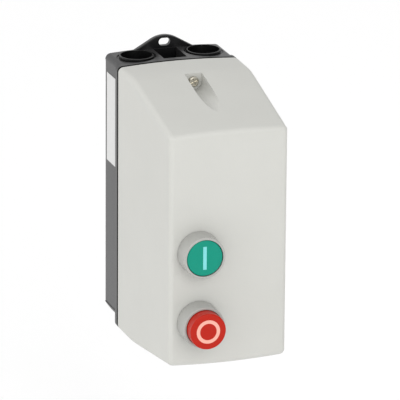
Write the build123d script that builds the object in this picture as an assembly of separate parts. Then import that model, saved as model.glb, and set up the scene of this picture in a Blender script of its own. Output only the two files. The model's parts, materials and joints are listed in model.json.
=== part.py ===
from build123d import *
import os
from math import sqrt

os.makedirs("parts", exist_ok=True)

# Enclosed direct-on-line motor starter, in millimetres.
# X is to the right, Z is up, the wall is the plane Y = 0 and the front faces -Y.
# "Depth" below is the distance in front of the wall.

# ---------------------------------------------------------------- enclosure
CROWN_RADIUS = 560.0          # top and bottom walls bow outwards across X
BASE_HALF_WIDTH = 42.6
BASE_TOP = 95.3
BASE_BOTTOM = -95.7
BASE_CORNER = 4.0
BASE_WALL = 2.6
BASE_TOP_WALL = 4.0
BASE_BOTTOM_WALL = 6.8
BASE_FLOOR = 2.6
BASE_HEEL_RISE = 5.0          # the underside rises towards the wall
HEEL_DEPTH = 27.0
SIDE_RECESS = 0.3
SIDE_FOOT = 5.5
LIP_REAR = 29.0
LIP_FRONT = 33.5
TONGUE_DEPTH = 5.5
TONGUE_WALL = 2.0
TONGUE_GAP = 0.5
SEAL_GROOVE = 1.6
SEAL_PROUD = 0.5
SEAL_WIDTH = 1.4
SEAL_INSET = 0.8

COVER_REAR = 36.0
COVER_KINK = 65.0
COVER_FRONT = 145.8
COVER_HALF_WIDTH = 44.4
COVER_FRONT_HALF_WIDTH = 42.6
COVER_BOTTOM = -101.6
FRONT_TOP = 76.6
FRONT_BOTTOM = -91.3
COVER_CORNER = 3.8
COVER_INNER_CORNER = 2.0
SHARP_CORNER = 1.0
COVER_WALL = 2.6
FRONT_FILLET = 3.5
KINK_BLEND = 7.0              # length over which the skirt turns into the slope
CASE_CENTRE = (BASE_TOP + COVER_BOTTOM) / 2

# ---------------------------------------------------------------- mounting lugs
LUG_REACH = 104.6
LUG_THICKNESS = 3.5
LUG_ARC_HALF = 9.0
LUG_ARC_DROP = 2.3
LUG_FOOT_HALF = 22.6
LUG_FOOT_SUNK = 0.8
LUG_BEVEL = 0.5
SLOT_LENGTH = 8.5
SLOT_WIDTH = 5.6
LUG_HOLE_Z = 99.9
LUG_HOLE_RADIUS = 2.75

# ---------------------------------------------------------------- cable entries
ENTRY_X = 24.8
ENTRY_DEPTH = 16.3
ENTRY_HOLE = 12.3
MOAT_RADIUS = 14.1
MOAT_DEPTH = 2.0
PLUG_GAP = 0.1
PLUG_WALL = 0.9
PLUG_RISE = 1.2
PLUG_SUNK = 9.0
PLUG_FLOOR = 1.2
PLUG_FLANGE = 0.9
PLUG_FLANGE_GAP = 0.3
PLUG_BEVEL = 0.3
BOTTOM_ENTRY_RADIUS = 12.7
POCKET_HALF = 8.5
POCKET_REAR = 4.0
POCKET_FRONT = 28.5
POCKET_SUNK = 10.0
POCKET_WALL = 2.0

# ---------------------------------------------------------------- cover screw
SCREW_Z = 89.0
SCREW_HEAD_FRONT = 70.0
SCREW_HEAD_RADIUS = 3.65
SCREW_HEAD_HEIGHT = 2.4
SCREW_SHANK_RADIUS = 1.75
SCREW_HEAD_EDGE = 0.8
SCREW_SEAT_GAP = 0.6
SCREW_TIP = 43.0
SCREW_DRIVE_WIDTH = 0.9
SCREW_DRIVE_LENGTH = 5.7
SCREW_DRIVE_DEPTH = 1.3
SCREW_DRIVE_TURN = 20.0
GROOVE_RADIUS = 6.4
GROOVE_WALL = 2.2
SCREW_HOLE_GAP = 0.3
POST_FRONT = 50.0
POST_HALF = 5.0
POST_LOW = 83.0
POST_HIGH = 91.9
POST_HOLE_GAP = 0.55
ORING_RADIUS = 0.6
ORING_GAP = 0.6               # rest gap between the ring and the post

# ---------------------------------------------------------------- cover hinge
HINGE_X = 25.0
HINGE_DEPTH = 38.1
HINGE_Z = -98.0
HINGE_PIN_RADIUS = 1.5
HINGE_FIT = 0.05
BARREL_HALF = 4.0
BARREL_RADIUS = 2.8
ARM_WIDTH = 3.0
ARM_RADIUS = 2.6
ARM_GAP = 0.35
ARM_SWEEP_GAP = 0.6
HINGE_OPENING = 6.0

# ---------------------------------------------------------------- push-buttons
BUTTON_X = -21.6
START_Z = -8.7
STOP_Z = -59.0
BEZEL_BASE_RADIUS = 15.2
BEZEL_FRONT_RADIUS = 14.75
BEZEL_HEIGHT = 14.2
BEZEL_RIM_FILLET = 0.7
BEZEL_CUP_DEPTH = 11.2
BEZEL_SLEEVE_RADIUS = 11.0
BEZEL_SLEEVE_BORE = 9.4
BEZEL_SLEEVE_LENGTH = 12.0
SLEEVE_END = 2.0
PANEL_HOLE_GAP = 0.15
BUTTON_SEAL = 0.5
SEAL_STEP = 0.3
NUT_ACROSS = 28.0
NUT_HEIGHT = 4.5
NUT_FIT = 0.02
CAP_RADIUS = 12.8
CAP_GAP = 0.35
CAP_FACE = 2.2
CAP_SKIRT = 1.2
CAP_LENGTH = 6.0
CAP_EDGE = 0.8
START_SUNK = 0.4
STOP_PROUD = 8.2
BUTTON_TRAVEL = 4.0
ROD_RADIUS = 3.0
ROD_FIT = 0.06
ROD_HEAD_RADIUS = 4.6
ROD_HEAD = 1.2
ROD_LASH = 0.3
MARK_DEPTH = 0.4
MARK_GAP = 0.03
I_WIDTH = 2.5
I_HEIGHT = 16.4
O_OUTER = 8.4
O_INNER = 5.95
BUTTON_SPRING_RADIUS = 4.8
BUTTON_SPRING_WIRE = 0.45
BUTTON_SPRING_TURNS = 5

# ---------------------------------------------------------------- rail and contactor
RAIL_Z = 22.0
RAIL_HALF = 17.5
RAIL_WEB_HALF = 12.5
RAIL_HEIGHT = 7.5
RAIL_SHEET = 1.0
RAIL_STAND_OFF = 6.0
RAIL_LEFT = -26.0
RAIL_RIGHT = 36.0
RAIL_SCREW_INSET = 4.0
RAIL_GAP = 0.5
RAIL_BOSS_MARGIN = 3.0
RAIL_HOLE_RADIUS = 2.1
RAIL_SCREW_LENGTH = 5.5
RAIL_SCREW_HEAD = 3.6
RAIL_SCREW_HEIGHT = 2.2
M4_SHANK = 1.8
PILOT_RADIUS = 1.9
PILOT_REAR = 1.0
EMBED = 0.5                   # a boss is sunk this far into the floor that carries it
CONTACTOR_X = 5.0
CONTACTOR_WIDTH = 45.0
CONTACTOR_HEIGHT = 76.0
CONTACTOR_SPLIT = 52.0
CONTACTOR_SHOULDER = 80.0
CONTACTOR_FRONT = 96.0
SHOULDER_WIDTH = 13.0
CONTACTOR_NOSE_HALF = CONTACTOR_HEIGHT / 2 - SHOULDER_WIDTH
CONTACTOR_WALL = 2.0
CONTACTOR_NOSE_WALL = 3.0
CHAMBER_DEPTH = 9.0
NOSE_EDGE = 1.0
WINDOW_HALF_X = 9.0
WINDOW_HALF_Z = 3.0
CLAW_HALF = 16.0
CLAW_THICKNESS = 3.0
CLAW_GAP = 0.3
CLAW_BITE = 1.8
CLAW_LIP = 2.0
CLAW_REAR_GAP = 0.2
SPLIT_GAP = 0.1
POLE_PITCH = 10.8
POLES = 4
CORE_HALF = 7.0
CORE_REACH = 23.0
CORE_LIMB = 6.0
CORE_CENTRE_HALF = 5.0
CORE_YOKE = 6.0
CORE_BACK = 18.0
CORE_FACE = 36.0
MOVING_CORE_FRONT = 54.0
AIR_GAP = 3.5
BOBBIN_GAP = 0.6
BOBBIN_WALL = 1.2
BOBBIN_REAR = 25.0
BOBBIN_FRONT = 44.4
BOBBIN_FLANGE_X = 14.5
BOBBIN_FLANGE_Z = 16.2
BOBBIN_FLANGE = 1.5
WINDING_INSET = 0.8
WINDING_CORNER = 2.5
CARRIER_PLATE = 3.0
CARRIER_PLATE_HALF_X = 10.0
CARRIER_PLATE_HALF_Z = 21.0
CARRIER_HALF_X = 19.0
CARRIER_HALF_Z = 4.0
CARRIER_FRONT = 85.0
CARRIER_NOSE_HALF_X = 8.0
CARRIER_NOSE_HALF_Z = 2.4
CARRIER_NOSE_SUNK = 0.6
CARRIER_SPRING_X = 12.0
CARRIER_SPRING_RADIUS = 2.2
CARRIER_SPRING_WIRE = 0.35
CARRIER_SPRING_TURNS = 3
BRIDGE_SLOT = 4.0
BRIDGE_HALF_X = 3.0
BRIDGE_HALF_Z = 10.5
BRIDGE_THICKNESS = 1.2
BRIDGE_DEPTH = 78.4
CONTACT_PLATE_DEPTH = 74.0
CONTACT_PLATE = 1.0
CONTACT_PLATE_HALF = 3.6
CONTACT_INNER = 6.5
CONTACT_END = 1.5
CONTACT_OUTER = CONTACTOR_HEIGHT / 2 - CONTACT_END
CONTACT_GAP = 0.1
TERMINAL_INSET = 7.0
SCREW_COLUMN = CONTACTOR_HEIGHT / 2 - TERMINAL_INSET
TERMINAL_HEAD_RADIUS = 3.3
TERMINAL_HEAD = 2.4
TERMINAL_SHANK = 1.7
TERMINAL_WELL_GAP = 0.5
TERMINAL_SHANK_LENGTH = 5.0
WIRE_ENTRY_HALF = 3.0
WIRE_ENTRY_DEPTH = 4.4
WIRE_ENTRY_END = 1.5
CORE_PLATE_GAP = 0.1

# ---------------------------------------------------------------- rail latch
LATCH_HALF = 7.0
LATCH_THICKNESS = 3.0
LATCH_GAP = 0.3
LATCH_HOOK = 2.0
LATCH_LENGTH = 16.0
LATCH_CLEAR = 3.0

# ---------------------------------------------------------------- start contact block
BLOCK_LEFT = -29.7
BLOCK_RIGHT = -17.7
BLOCK_LOW = -20.4
BLOCK_HIGH = 14.0
BLOCK_REAR = 60.0
BLOCK_FRONT = 112.0
BLOCK_WALL = 1.6
BLOCK_FACE = 4.0
BLOCK_END = 5.0
BLOCK_WELL = 3.4
BLOCK_WELL_INSET = 4.0
BLOCK_WELL_RADIUS = 3.2
BLOCK_SCREW_HEAD = 2.9
BLOCK_SCREW_HEIGHT = 2.2
BLOCK_SCREW_SHANK = 1.4
BLOCK_EDGE = 0.8
PLUNGER_RADIUS = 2.6
PLUNGER_PROUD = 6.0
PLUNGER_GAP = 0.15
PLUNGER_STEM = 10.0
PLUNGER_FOOT_X = 2.2
PLUNGER_FOOT_Z = 3.2
START_CONTACT_DEPTH = 84.0
START_CONTACT_GAP = 0.2
START_CONTACT_HALF = 2.0
START_CONTACT_SHEET = 1.0
START_CONTACT_SPLIT = 1.6
START_BRIDGE_HALF_X = 1.8
START_BRIDGE_HALF_Z = 5.0
BLOCK_SPRING_RADIUS = 1.1
BLOCK_SPRING_WIRE = 0.2
BLOCK_SPRING_TURNS = 9

# ---------------------------------------------------------------- overload relay
RELAY_LEFT = -28.0
RELAY_RIGHT = 26.0
RELAY_LOW = -88.0
RELAY_SPACE = 5.0             # between the contactor and the relay that plugs into it
RELAY_HIGH = RAIL_Z - CONTACTOR_HEIGHT / 2 - RELAY_SPACE
RELAY_REAR = 44.0
RELAY_SHOULDER = 78.0
RELAY_SHOULDER_Z = -66.0
RELAY_FRONT = 92.0
RELAY_WALL = 2.0
RELAY_POLES = 5
RELAY_PLATE_DEPTH = 72.2
RELAY_SCREW_Z = -79.0
RELAY_FACE = 5.0
RELAY_EDGE = 1.0
RELAY_PLATE_LOW = 3.1
RELAY_PLATE_HIGH = 4.0
PIN_HALF = 2.5
PIN_GAP = 0.1
PIN_SHEET = 1.5
PIN_SUNK = 6.0
PIN_REACH = 4.5
RESET_SEAT = 4.0
RESET_EDGE = 0.5
RESET_SPRING_RADIUS = 1.8
RESET_SPRING_WIRE = 0.3
RESET_SPRING_TURNS = 8
RESET_TAIL = 72.0
DIAL_X = 9.0
DIAL_Z = -42.0
DIAL_RADIUS = 6.5
DIAL_PROUD = 1.6
DIAL_SUNK = 4.0
DIAL_FIT = 0.08
DIAL_END_GAP = 0.2
DIAL_EDGE = 0.5
DIAL_SLOT_LENGTH = 9.0
DIAL_SLOT_WIDTH = 1.2
DIAL_SLOT_DEPTH = 1.5
DIAL_ARROW = 0.9
DIAL_ARROW_INSET = 1.6
DIAL_ARROW_DEPTH = 0.6
BIMETAL_THICKNESS = 0.9
BIMETAL_HALF = 2.0
BIMETAL_GAP = 0.2

# ---------------------------------------------------------------- small parts
LABEL_REAR = 3.5
LABEL_FRONT = 25.5
LABEL_LOW = 17.0
LABEL_HIGH = 81.5
LABEL_SHEET = 0.25
EARTH_X = 33.0
EARTH_Z = -74.0
EARTH_PAD_MARGIN = 1.0
EARTH_PAD_END = 2.0
EARTH_SEAT = 5.0
EARTH_SHEET = 1.5
EARTH_HALF_X = 5.0
EARTH_HALF_Z = 8.0
EARTH_HOLE_RADIUS = 2.0
EARTH_SCREW_LENGTH = 5.0
EARTH_SCREW_HEAD = 3.8
EARTH_SCREW_HEIGHT = 2.4
WIRE_RADIUS = 1.1
PAN_EDGE = 0.25               # pan heads: edge radius, slot floor as shares of the height
PAN_SLOT_FLOOR = 0.55
PAN_SLOT_WIDTH = 0.8
PAN_SLOT_TURN = 35.0


# ================================================================ shared shapes
def slab(sketch, near, far):
    """A flat X-Z sketch filled between two depths in front of the wall."""
    return extrude(Plane.XZ.offset(near) * sketch, amount=far - near)


def block(left, right, near, far, low, high):
    sketch = Pos((left + right) / 2, (low + high) / 2) * Rectangle(right - left, high - low)
    return slab(sketch, near, far)


def rod(x, z, near, far, radius):
    return slab(Pos(x, z) * Circle(radius), near, far)


def tube(x, z, near, far, outer, inner):
    return rod(x, z, near, far, outer) - rod(x, z, near, far, inner)


def sagitta(half_width):
    return CROWN_RADIUS - sqrt(CROWN_RADIUS**2 - half_width**2)


def crowned_outline(half_width, top, bottom, corner):
    """Front view of the case: straight sides, bowed top and bottom, round corners."""
    drop = sagitta(half_width)
    crest = ThreePointArc((-half_width, top - drop), (0, top), (half_width, top - drop))
    right = Line((half_width, top - drop), (half_width, bottom + drop))
    keel = ThreePointArc((half_width, bottom + drop), (0, bottom), (-half_width, bottom + drop))
    left = Line((-half_width, bottom + drop), (-half_width, top - drop))
    face = make_face([crest, right, keel, left])
    return fillet(face.vertices(), corner)


def case_outline(inset):
    """The cover's rear edge, moved inwards by inset."""
    corner = max(COVER_CORNER - inset, SHARP_CORNER)
    return crowned_outline(COVER_HALF_WIDTH - inset, BASE_TOP - inset, COVER_BOTTOM + inset, corner)


def spring(x, z, near, far, radius, wire, turns):
    """A helical compression spring along Y between two depths."""
    length = far - near - 2 * wire
    path = Helix(pitch=length / turns, height=length, radius=radius)
    start = path @ 0
    section = Plane(origin=start, z_dir=path % 0) * Circle(wire)
    coil = sweep(section, path=path)
    return Pos(x, -(near + wire), z) * Rot(90, 0, 0) * coil


def pole_x(index):
    return CONTACTOR_X + (index - (POLES - 1) / 2) * POLE_PITCH


def relay_pole_x(index):
    return pole_x(index - 1)


# ================================================================ base
def upper_lug():
    """Arched fixing lug in the back plane, bevelled along its front edge."""
    crest = LUG_REACH - LUG_ARC_DROP
    foot = BASE_TOP - LUG_FOOT_SUNK
    root = BASE_TOP - BASE_CORNER
    arc = ThreePointArc((-LUG_ARC_HALF, crest), (0, LUG_REACH), (LUG_ARC_HALF, crest))
    right_flank = Line((LUG_ARC_HALF, crest), (LUG_FOOT_HALF, foot))
    right = Line((LUG_FOOT_HALF, foot), (LUG_FOOT_HALF, root))
    floor = Line((LUG_FOOT_HALF, root), (-LUG_FOOT_HALF, root))
    left = Line((-LUG_FOOT_HALF, root), (-LUG_FOOT_HALF, foot))
    left_flank = Line((-LUG_FOOT_HALF, foot), (-LUG_ARC_HALF, crest))
    face = make_face([arc, right_flank, right, floor, left, left_flank])
    plate = slab(face, 0, LUG_THICKNESS)
    return chamfer(plate.faces().sort_by(Axis.Y)[0].edges(), LUG_BEVEL)


def lower_lug():
    """The upper lug turned over about the middle of the case, with a neck up to the base."""
    neck = block(-LUG_FOOT_HALF, LUG_FOOT_HALF, 0, LUG_THICKNESS, 2 * CASE_CENTRE - BASE_TOP + LUG_FOOT_SUNK,
                 BASE_BOTTOM + BASE_BOTTOM_WALL)
    return mirror(upper_lug(), about=Plane.XY.offset(CASE_CENTRE)) + neck


def entry_positions():
    return [-ENTRY_X, ENTRY_X]


def post_in(z_low, z_high, x, depth, radius):
    """A vertical cylinder between two heights."""
    return Pos(x, -depth, z_low) * extrude(Circle(radius), amount=z_high - z_low)


def base_shell():
    outer = slab(crowned_outline(BASE_HALF_WIDTH, BASE_TOP, BASE_BOTTOM, BASE_CORNER), 0, LIP_FRONT)
    lip = slab(case_outline(0), LIP_REAR, LIP_FRONT)
    shell = outer + lip
    inner = block(-BASE_HALF_WIDTH + BASE_WALL, BASE_HALF_WIDTH - BASE_WALL, BASE_FLOOR, LIP_FRONT + 1,
                  BASE_BOTTOM + BASE_BOTTOM_WALL, BASE_TOP - BASE_TOP_WALL)
    return shell - inner


def base_tongue():
    """Collar that the cover slides over: both sides and the top, open at the hinge."""
    inset = COVER_WALL + TONGUE_GAP
    far = LIP_FRONT + TONGUE_DEPTH
    collar = slab(case_outline(inset), LIP_REAR, far) - slab(case_outline(inset + TONGUE_WALL), LIP_REAR, far)
    return collar - block(-COVER_HALF_WIDTH, COVER_HALF_WIDTH, LIP_FRONT, far + 1, COVER_BOTTOM,
                          HINGE_Z + HINGE_OPENING)


def hinge_arms():
    arms = []
    for x in (-HINGE_X, HINGE_X):
        for side in (-1, 1):
            inner = BARREL_HALF + ARM_GAP
            edges = sorted([x + side * inner, x + side * (inner + ARM_WIDTH)])
            neck = block(edges[0], edges[1], LIP_FRONT - EMBED, HINGE_DEPTH, HINGE_Z - ARM_RADIUS,
                         HINGE_Z + ARM_RADIUS)
            eye = Pos((edges[0] + edges[1]) / 2, -HINGE_DEPTH, HINGE_Z) * Rot(0, 90, 0)
            eye = eye * Cylinder(ARM_RADIUS, edges[1] - edges[0])
            arms.append(neck + eye)
    return arms


def x_rod(x, depth, z, half_length, radius):
    return Pos(x, -depth, z) * Rot(0, 90, 0) * Cylinder(radius, 2 * half_length)


def rail_screw_positions():
    return RAIL_LEFT + RAIL_SCREW_INSET, RAIL_RIGHT - RAIL_SCREW_INSET


def rail_bosses():
    half = RAIL_SCREW_INSET + RAIL_BOSS_MARGIN
    return [block(x - half, x + half, BASE_FLOOR - EMBED, RAIL_STAND_OFF, RAIL_Z - RAIL_WEB_HALF,
                  RAIL_Z + RAIL_WEB_HALF) for x in rail_screw_positions()]


def screw_pocket():
    """Box behind the upper lug and the post that takes the cover screw."""
    box = block(-POCKET_HALF - POCKET_WALL, POCKET_HALF + POCKET_WALL, BASE_FLOOR - EMBED,
                POCKET_FRONT + POCKET_WALL, POST_LOW, BASE_TOP - BASE_TOP_WALL + EMBED)
    return box + block(-POST_HALF, POST_HALF, POCKET_FRONT, POST_FRONT, POST_LOW, POST_HIGH)


def earth_pad():
    half_x = EARTH_HALF_X + EARTH_PAD_MARGIN
    half_z = EARTH_HALF_Z + EARTH_PAD_END
    return block(EARTH_X - half_x, EARTH_X + half_x, BASE_FLOOR - EMBED, EARTH_SEAT, EARTH_Z - half_z,
                 EARTH_Z + half_z)


def heel_cut():
    """Wedge that lifts the underside towards the wall, beside the lower lug's neck."""
    low = BASE_BOTTOM - 1
    high = BASE_BOTTOM + BASE_HEEL_RISE
    profile = Polyline((0, low), (0, high), (-HEEL_DEPTH, BASE_BOTTOM), (-HEEL_DEPTH, low), close=True)
    wedge = extrude(Plane.YZ * make_face(profile), amount=COVER_HALF_WIDTH, both=True)
    return wedge - block(-LUG_FOOT_HALF, LUG_FOOT_HALF, 0, LUG_THICKNESS, low, high)


def side_recess(side):
    face = side * BASE_HALF_WIDTH
    left, right = sorted([face - side * SIDE_RECESS, face + side])
    return block(left, right, -1, LIP_REAR, BASE_BOTTOM + SIDE_FOOT, BASE_TOP - SIDE_FOOT)


def entry_cuts(x):
    """Hole and moat of an upper entry, and the open entry below it."""
    surface = BASE_TOP - sagitta(ENTRY_X)
    hole = post_in(surface - BASE_TOP_WALL, BASE_TOP + 1, x, ENTRY_DEPTH, ENTRY_HOLE)
    moat = post_in(surface - MOAT_DEPTH, BASE_TOP + 1, x, ENTRY_DEPTH, MOAT_RADIUS)
    lower = post_in(BASE_BOTTOM - 1, BASE_BOTTOM + BASE_BOTTOM_WALL + 1, x, ENTRY_DEPTH, BOTTOM_ENTRY_RADIUS)
    return [hole, moat, lower]


def seal_ring(near, far):
    return slab(case_outline(SEAL_INSET), near, far) - slab(case_outline(SEAL_INSET + SEAL_WIDTH), near, far)


def make_base():
    base = base_shell() + base_tongue() + upper_lug() + lower_lug() + screw_pocket() + earth_pad()
    for boss in rail_bosses() + hinge_arms():
        base = base + boss
    base = base - heel_cut()
    for side in (-1, 1):
        base = base - side_recess(side)
    for x in entry_positions():
        for cut in entry_cuts(x):
            base = base - cut
    pocket_floor = BASE_TOP - POCKET_SUNK
    base = base - block(-POCKET_HALF, POCKET_HALF, POCKET_REAR, POCKET_FRONT, pocket_floor, BASE_TOP + 1)
    post_hole = SCREW_SHANK_RADIUS + POST_HOLE_GAP
    base = base - rod(0, SCREW_Z, POCKET_FRONT + POCKET_WALL, POST_FRONT + 1, post_hole)
    slot = Pos(0, LUG_HOLE_Z) * SlotOverall(SLOT_LENGTH, SLOT_WIDTH)
    base = base - slab(slot, -1, LUG_THICKNESS + 1)
    base = base - rod(0, 2 * CASE_CENTRE - LUG_HOLE_Z, -1, LUG_THICKNESS + 1, LUG_HOLE_RADIUS)
    base = base - seal_ring(LIP_FRONT - SEAL_GROOVE, LIP_FRONT + 1)
    for x in (-HINGE_X, HINGE_X):
        base = base - x_rod(x, HINGE_DEPTH, HINGE_Z, BARREL_HALF + ARM_GAP + ARM_WIDTH + 1, HINGE_PIN_RADIUS)
    for x in rail_screw_positions():
        base = base - rod(x, RAIL_Z, PILOT_REAR, RAIL_STAND_OFF + 1, PILOT_RADIUS)
    return base - rod(EARTH_X, EARTH_Z, PILOT_REAR, EARTH_SEAT + 1, PILOT_RADIUS)


def make_entry_plugs():
    plugs = []
    for x in entry_positions():
        rim = BASE_TOP - sagitta(ENTRY_X) + PLUG_RISE
        seat = BASE_TOP - sagitta(ENTRY_X) - MOAT_DEPTH
        radius = ENTRY_HOLE - PLUG_GAP
        wall = post_in(rim - PLUG_SUNK, rim, x, ENTRY_DEPTH, radius)
        wall = chamfer(wall.faces().sort_by(Axis.Z)[-1].edges(), PLUG_BEVEL)
        flange = post_in(seat, seat + PLUG_FLANGE, x, ENTRY_DEPTH, MOAT_RADIUS - PLUG_FLANGE_GAP)
        cup = post_in(rim - PLUG_SUNK + PLUG_FLOOR, rim + 1, x, ENTRY_DEPTH, radius - PLUG_WALL)
        plugs.append(wall + flange - cup)
    return Compound(plugs)


def make_seal():
    return seal_ring(LIP_FRONT - SEAL_GROOVE, LIP_FRONT + SEAL_PROUD)


def make_hinge_pins():
    half = BARREL_HALF + ARM_GAP + ARM_WIDTH
    return Compound([x_rod(x, HINGE_DEPTH, HINGE_Z, half, HINGE_PIN_RADIUS) for x in (-HINGE_X, HINGE_X)])


def make_label():
    face = -BASE_HALF_WIDTH + SIDE_RECESS
    return block(face - LABEL_SHEET, face, LABEL_REAR, LABEL_FRONT, LABEL_LOW, LABEL_HIGH)


# ================================================================ cover
def cover_sections(inset, rear, front):
    """Outlines from the rear edge over the kink to the front, moved inwards by inset."""
    def at(depth):
        slope = max(0.0, (depth - COVER_KINK) / (COVER_FRONT - COVER_KINK))
        draft = (depth - COVER_REAR) / (COVER_FRONT - COVER_REAR)
        half = COVER_HALF_WIDTH + (COVER_FRONT_HALF_WIDTH - COVER_HALF_WIDTH) * draft
        top = BASE_TOP + (FRONT_TOP - BASE_TOP) * slope
        bottom = COVER_BOTTOM + (FRONT_BOTTOM - COVER_BOTTOM) * slope
        if abs(depth - COVER_KINK) < KINK_BLEND:
            rest = (depth - COVER_KINK + KINK_BLEND)**2 / (4 * KINK_BLEND * (COVER_FRONT - COVER_KINK))
            top = BASE_TOP + (FRONT_TOP - BASE_TOP) * rest
            bottom = COVER_BOTTOM + (FRONT_BOTTOM - COVER_BOTTOM) * rest
        corner = max(COVER_CORNER - inset, COVER_INNER_CORNER)
        outline = crowned_outline(half - inset, top - inset, bottom + inset, corner)
        return Plane.XZ.offset(depth) * outline
    steps = [COVER_KINK + KINK_BLEND * share for share in (-1, -0.5, 0, 0.5, 1)]
    return [at(depth) for depth in [rear] + steps + [front]]


def screw_seat():
    """Depth of the groove's end wall, which the cover screw's head nearly touches."""
    return SCREW_HEAD_FRONT - SCREW_HEAD_HEIGHT - SCREW_SEAT_GAP


def groove_shape(near, radius):
    """Round-bottomed trough, open at the top and at the front."""
    far = COVER_FRONT + 1
    return rod(0, SCREW_Z, near, far, radius) + block(-radius, radius, near, far, SCREW_Z, BASE_TOP + 1)


def make_cover():
    outer = loft(cover_sections(0, COVER_REAR, COVER_FRONT), ruled=True)
    outer = fillet(outer.faces().sort_by(Axis.Y)[0].edges(), FRONT_FILLET)
    inner = loft(cover_sections(COVER_WALL, COVER_REAR - 1, COVER_FRONT - COVER_WALL), ruled=True)
    seat = screw_seat()
    trough = groove_shape(seat - GROOVE_WALL, GROOVE_RADIUS + GROOVE_WALL)
    cover = outer - inner + (trough & outer) - groove_shape(seat, GROOVE_RADIUS)
    cover = cover - rod(0, SCREW_Z, seat - GROOVE_WALL - 1, seat + 1, SCREW_SHANK_RADIUS + SCREW_HOLE_GAP)
    for z in (START_Z, STOP_Z):
        cover = cover - rod(BUTTON_X, z, COVER_FRONT - COVER_WALL - 1, COVER_FRONT + 1,
                            BEZEL_SLEEVE_RADIUS + PANEL_HOLE_GAP)
    sweep_radius = ARM_RADIUS + ARM_SWEEP_GAP
    for x in (-HINGE_X, HINGE_X):
        cover = cover + x_rod(x, HINGE_DEPTH, HINGE_Z, BARREL_HALF, BARREL_RADIUS)
        for side in (-1, 1):
            span = sorted([x + side * BARREL_HALF, x + side * (BARREL_HALF + ARM_WIDTH + 2 * ARM_GAP)])
            cover = cover - block(span[0], span[1], COVER_REAR - 1, HINGE_DEPTH + sweep_radius,
                                  COVER_BOTTOM - 1, HINGE_Z + sweep_radius)
        cover = cover - x_rod(x, HINGE_DEPTH, HINGE_Z, BARREL_HALF + 1, HINGE_PIN_RADIUS + HINGE_FIT)
    return cover


# ================================================================ cover screw
def make_cover_screw():
    back = SCREW_HEAD_FRONT - SCREW_HEAD_HEIGHT
    head = rod(0, SCREW_Z, back, SCREW_HEAD_FRONT, SCREW_HEAD_RADIUS)
    head = fillet(head.faces().sort_by(Axis.Y)[0].edges(), SCREW_HEAD_EDGE)
    screw = head + rod(0, SCREW_Z, SCREW_TIP, back + EMBED, SCREW_SHANK_RADIUS)
    cross = (Rectangle(SCREW_DRIVE_LENGTH, SCREW_DRIVE_WIDTH)
             + Rectangle(SCREW_DRIVE_WIDTH, SCREW_DRIVE_LENGTH))
    cross = Pos(0, SCREW_Z) * Rot(0, 0, SCREW_DRIVE_TURN) * cross
    return screw - slab(cross, SCREW_HEAD_FRONT - SCREW_DRIVE_DEPTH, SCREW_HEAD_FRONT + 1)


def make_screw_ring():
    """Rubber ring on the shank that stops the loosened screw behind the cover's wall."""
    ring = Torus(SCREW_SHANK_RADIUS + ORING_RADIUS, ORING_RADIUS)
    return Pos(0, -(POST_FRONT + ORING_GAP + ORING_RADIUS), SCREW_Z) * Rot(90, 0, 0) * ring


# ================================================================ push-buttons
def make_bezel(z):
    """Collar with its threaded sleeve, pushed through the front and held by a nut."""
    seat = COVER_FRONT + BUTTON_SEAL
    rim = COVER_FRONT + BEZEL_HEIGHT
    sleeve_end = COVER_FRONT - BEZEL_SLEEVE_LENGTH
    collar = Pos(BUTTON_X, -seat, z) * Rot(90, 0, 0) * Cone(
        BEZEL_BASE_RADIUS, BEZEL_FRONT_RADIUS, rim - seat, align=(Align.CENTER, Align.CENTER, Align.MIN))
    collar = fillet(collar.faces().sort_by(Axis.Y)[0].edges(), BEZEL_RIM_FILLET)
    bezel = collar + rod(BUTTON_X, z, sleeve_end, seat + EMBED, BEZEL_SLEEVE_RADIUS)
    bezel = bezel - rod(BUTTON_X, z, rim - BEZEL_CUP_DEPTH, rim + 1, CAP_RADIUS + CAP_GAP)
    bezel = bezel - rod(BUTTON_X, z, sleeve_end + SLEEVE_END, rim, BEZEL_SLEEVE_BORE)
    return bezel - rod(BUTTON_X, z, sleeve_end - 1, rim, ROD_RADIUS + ROD_FIT)


def make_bezel_seal(z):
    return tube(BUTTON_X, z, COVER_FRONT, COVER_FRONT + BUTTON_SEAL, BEZEL_BASE_RADIUS - SEAL_STEP,
                BEZEL_SLEEVE_RADIUS + PANEL_HOLE_GAP)


def make_nut(z):
    near = COVER_FRONT - COVER_WALL - NUT_HEIGHT
    sketch = Pos(BUTTON_X, z) * (RegularPolygon(NUT_ACROSS / 2, 6, major_radius=False)
                                 - Circle(BEZEL_SLEEVE_RADIUS + NUT_FIT))
    return slab(sketch, near, COVER_FRONT - COVER_WALL)


def make_cap(z, face, length, mark):
    """Push-button cap: a cup with a recess for its inlaid mark."""
    back = face - length
    cap = rod(BUTTON_X, z, back, face, CAP_RADIUS)
    cap = fillet(cap.faces().sort_by(Axis.Y)[0].edges(), CAP_EDGE)
    cap = cap - rod(BUTTON_X, z, back - 1, face - CAP_FACE, CAP_RADIUS - CAP_SKIRT)
    return cap - slab(Pos(BUTTON_X, z) * mark, face - MARK_DEPTH, face + 1)


def i_mark(gap):
    return Rectangle(I_WIDTH + 2 * gap, I_HEIGHT + 2 * gap)


def o_mark(gap):
    return Circle(O_OUTER + gap) - Circle(O_INNER - gap)


def make_mark(z, face, mark):
    return slab(Pos(BUTTON_X, z) * mark, face - MARK_DEPTH, face)


def make_button_rod(z, face, tip):
    """Stem from the cap through the bezel's guide to the device behind it."""
    head = face - CAP_FACE
    stem = rod(BUTTON_X, z, tip, head, ROD_RADIUS)
    return stem + rod(BUTTON_X, z, head - ROD_HEAD, head, ROD_HEAD_RADIUS)


def make_button_spring(z, face):
    near = COVER_FRONT - BEZEL_SLEEVE_LENGTH + SLEEVE_END
    far = face - CAP_FACE - ROD_HEAD
    return spring(BUTTON_X, z, near, far, BUTTON_SPRING_RADIUS, BUTTON_SPRING_WIRE, BUTTON_SPRING_TURNS)


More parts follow.
